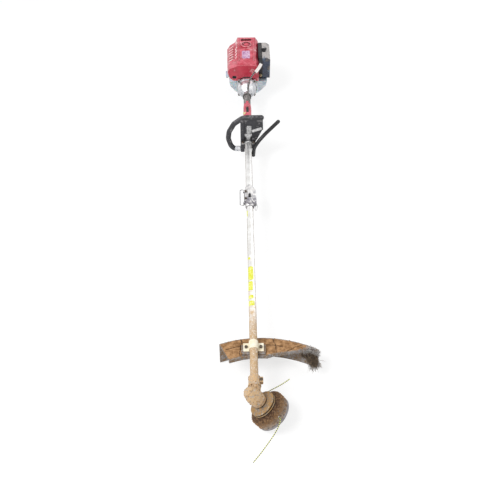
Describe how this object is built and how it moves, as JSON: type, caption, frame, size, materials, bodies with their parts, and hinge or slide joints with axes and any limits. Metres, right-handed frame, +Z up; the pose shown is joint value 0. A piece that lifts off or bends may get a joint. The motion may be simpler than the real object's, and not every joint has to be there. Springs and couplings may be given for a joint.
{
  "type": "string trimmer",
  "caption": "Petrol string trimmer: engine with tank and recoil starter, two-piece straight tube, loop handle with barrier bar, shield and bump-feed line head.",
  "frame": {"origin": "on the floor, at the middle of the tank guard's flat foot", "axes": "+Y along the tube towards the engine, +X to the operator's left, +Z up"},
  "size_m": [0.3232, 2.0063, 0.261],
  "materials": {
    "red_cover": "moulded gloss with scuffs",
    "black_plastic": "moulded matt",
    "cleaner_shell": "dusty moulded",
    "cast_aluminium": "as cast",
    "tube_aluminium": "drawn",
    "steel": "turned and ground",
    "bar_steel": "black painted tube",
    "tank_plastic": "translucent moulded",
    "filter_foam": "open foam",
    "dusty_plastic": "soil-stained moulded",
    "primer_rubber": "soft moulded",
    "cable_sleeve": "corrugated sleeve",
    "starter_cord": "braided cord",
    "switch_plastic": "moulded",
    "nylon_line": "extruded nylon"
  },
  "bodies": {
    "root": {"clutch_housing": "cast_aluminium", "fan_cover": "black_plastic", "engine_block": "cast_aluminium", "spark_plug": "steel", "ignition_coil": "black_plastic", "muffler": "steel", "top_cover": "red_cover", "carburettor": "cast_aluminium", "air_cleaner_case": "black_plastic", "air_filter": "filter_foam", "starter_cover": "black_plastic", "fuel_tank": "tank_plastic", "tank_guard": "black_plastic", "upper_tube": "tube_aluminium", "lower_tube": "tube_aluminium", "bearings_and_bushes": "steel", "tube_sleeve": "black_plastic", "throttle_upper": "red_cover", "throttle_lower": "black_plastic", "throttle_cable": "cable_sleeve", "loop_handle": "black_plastic", "handle_clamp": "steel", "barrier_bar": "bar_steel", "coupler_body": "cast_aluminium", "shield": "dusty_plastic", "shield_bracket": "steel", "line_cutter": "steel", "gear_case": "cast_aluminium", "cap_screws": "steel", "recoil_spring": "steel", "starter_rope": "starter_cord"},
    "crank": {"crankshaft": "steel", "flywheel": "steel", "clutch_shoes": "steel"},
    "drive_line": {"clutch_drum": "steel", "drive_shaft": "steel", "bevel_pinion": "steel"},
    "cutting_head": {"output_shaft": "steel", "head_holder": "steel", "head_housing": "dusty_plastic", "head_cover": "dusty_plastic", "head_spring": "steel", "trimmer_line_a": "nylon_line", "trimmer_line_b": "nylon_line"},
    "spool_unit": {"spool": "dusty_plastic", "bump_knob": "dusty_plastic"},
    "pulley": {"starter_pulley": "black_plastic"},
    "grip": {"starter_grip": "black_plastic"},
    "trigger": {"throttle_trigger": "black_plastic"},
    "carb_arm": {"carb_lever": "black_plastic"},
    "lockout": {"lockout_lever": "black_plastic"},
    "switch": {"stop_switch": "switch_plastic"},
    "choke": {"choke_lever": "black_plastic"},
    "primer": {"primer_bulb": "primer_rubber"},
    "cleaner_cover": {"air_cleaner_cover": "cleaner_shell"},
    "cleaner_knob": {"air_cover_knob": "black_plastic"},
    "tank_cap": {"fuel_cap": "black_plastic"},
    "oil_filler_cap": {"oil_cap": "black_plastic"},
    "coupler_button": {"lock_button": "black_plastic"},
    "ring": {"strap_ring": "steel"}
  },
  "joints": [
    {"name": "crank_spin", "type": "hinge", "parent": "root", "child": "crank", "pos_m": [0, -0.025, 0.118], "axis": [0, 1, 0], "continuous": true},
    {"name": "head_spin", "type": "hinge", "parent": "root", "child": "cutting_head", "pos_m": [0, -1.75, 0.118], "axis": [0.624, -0.242, -0.743], "continuous": true},
    {"name": "drive_spin", "type": "hinge", "parent": "root", "child": "drive_line", "pos_m": [0, -0.89, 0.118], "axis": [0, 1, 0], "continuous": true},
    {"name": "bump_feed", "type": "slide", "parent": "cutting_head", "child": "spool_unit", "axis": [-0.624, 0.242, 0.743], "range_m": [0, 0.008], "stiffness_N_per_m": 500, "springref_m": -0.006, "deforming": ["head_spring"]},
    {"name": "starter_pull", "type": "slide", "parent": "root", "child": "grip", "axis": [-1, 0, 0], "range_m": [0, 0.6], "stiffness_N_per_m": 20, "springref_m": -0.3, "deforming": ["starter_rope"]},
    {"name": "pulley_turn", "type": "hinge", "parent": "root", "child": "pulley", "pos_m": [0, 0.049, 0.118], "axis": [0, 1, 0], "range_deg": [0, 1100], "deforming": ["recoil_spring"]},
    {"name": "trigger_squeeze", "type": "hinge", "parent": "root", "child": "trigger", "pos_m": [0, -0.311, 0.096], "axis": [-1, 0, 0], "range_deg": [0, 18], "stiffness_Nm_per_rad": 0.5, "springref_deg": -11.46},
    {"name": "carb_lever_turn", "type": "hinge", "parent": "root", "child": "carb_arm", "pos_m": [0.05, -0.051, 0.188], "axis": [0, -1, 0], "range_deg": [0, 26]},
    {"name": "lockout_press", "type": "hinge", "parent": "root", "child": "lockout", "pos_m": [0, -0.35, 0.1336], "axis": [-1, 0, 0], "range_deg": [0, 10], "stiffness_Nm_per_rad": 0.15, "springref_deg": -11.46},
    {"name": "switch_slide", "type": "slide", "parent": "root", "child": "switch", "axis": [0, 1, 0], "range_m": [0, 0.004]},
    {"name": "choke_turn", "type": "hinge", "parent": "root", "child": "choke", "pos_m": [0.065, -0.08, 0.178], "axis": [0, 1, 0], "range_deg": [0, 70]},
    {"name": "primer_press", "type": "slide", "parent": "root", "child": "primer", "axis": [0, 1, 0], "range_m": [0, 0.003], "stiffness_N_per_m": 800, "springref_m": -0.002},
    {"name": "cleaner_cover_pull", "type": "slide", "parent": "root", "child": "cleaner_cover", "axis": [1, 0, 0], "range_m": [0, 0.05]},
    {"name": "cleaner_knob_turn", "type": "hinge", "parent": "cleaner_cover", "child": "cleaner_knob", "pos_m": [0.083, -0.028, 0.246], "axis": [0, 0, 1], "range_deg": [0, 90]},
    {"name": "tank_cap_turn", "type": "hinge", "parent": "root", "child": "tank_cap", "pos_m": [-0.09, -0.01, 0.11], "axis": [-1, 0, 0], "continuous": true},
    {"name": "oil_cap_turn", "type": "hinge", "parent": "root", "child": "oil_filler_cap", "pos_m": [-0.05, -0.078, 0.148], "axis": [-1, 0, 0], "continuous": true},
    {"name": "lock_press", "type": "slide", "parent": "root", "child": "coupler_button", "axis": [0, 0, -1], "range_m": [0, 0.003], "stiffness_N_per_m": 800, "springref_m": -0.002},
    {"name": "ring_swing", "type": "hinge", "parent": "root", "child": "ring", "pos_m": [-0.0207, -0.89, 0.118], "axis": [0, 1, 0], "range_deg": [-85, 60]}
  ],
  "couplings": [
    {"joint": "drive_spin", "follows": "head_spin", "ratio": -1.4},
    {"joint": "pulley_turn", "follows": "starter_pull", "rad_per_m": 31.4},
    {"joint": "carb_lever_turn", "follows": "trigger_squeeze", "ratio": 1.4}
  ]
}
